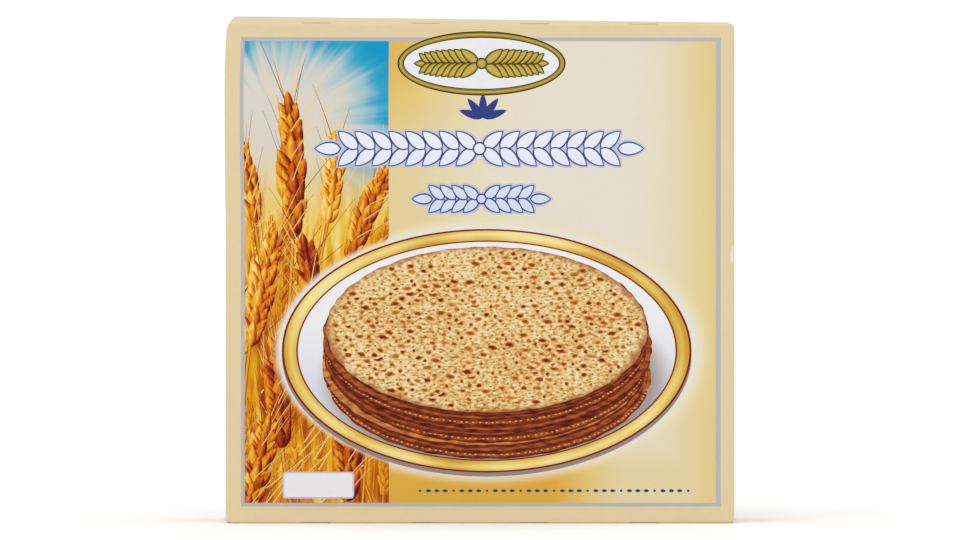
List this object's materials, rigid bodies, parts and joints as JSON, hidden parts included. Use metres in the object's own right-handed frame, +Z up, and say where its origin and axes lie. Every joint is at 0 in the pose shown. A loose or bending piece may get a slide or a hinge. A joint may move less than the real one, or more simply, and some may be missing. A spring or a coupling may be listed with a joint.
{
  "type": "flatbread carton",
  "caption": "Shut square folding carton of crisp whole wheat flatbread, standing on its base, with a cream border and a picture of wheat, sky and bread on the front.",
  "frame": {"origin": "the middle of the carton's base, on the surface that it stands on", "axes": "+Z up, the wide printed front faces -Y, +X runs to the right along the front"},
  "size_m": [0.1907, 0.0618, 0.1893],
  "materials": {
    "printed_board": "cream printed folding board with a soft satin varnish"
  },
  "bodies": {
    "root": {"carton": "printed_board"}
  },
  "joints": []
}
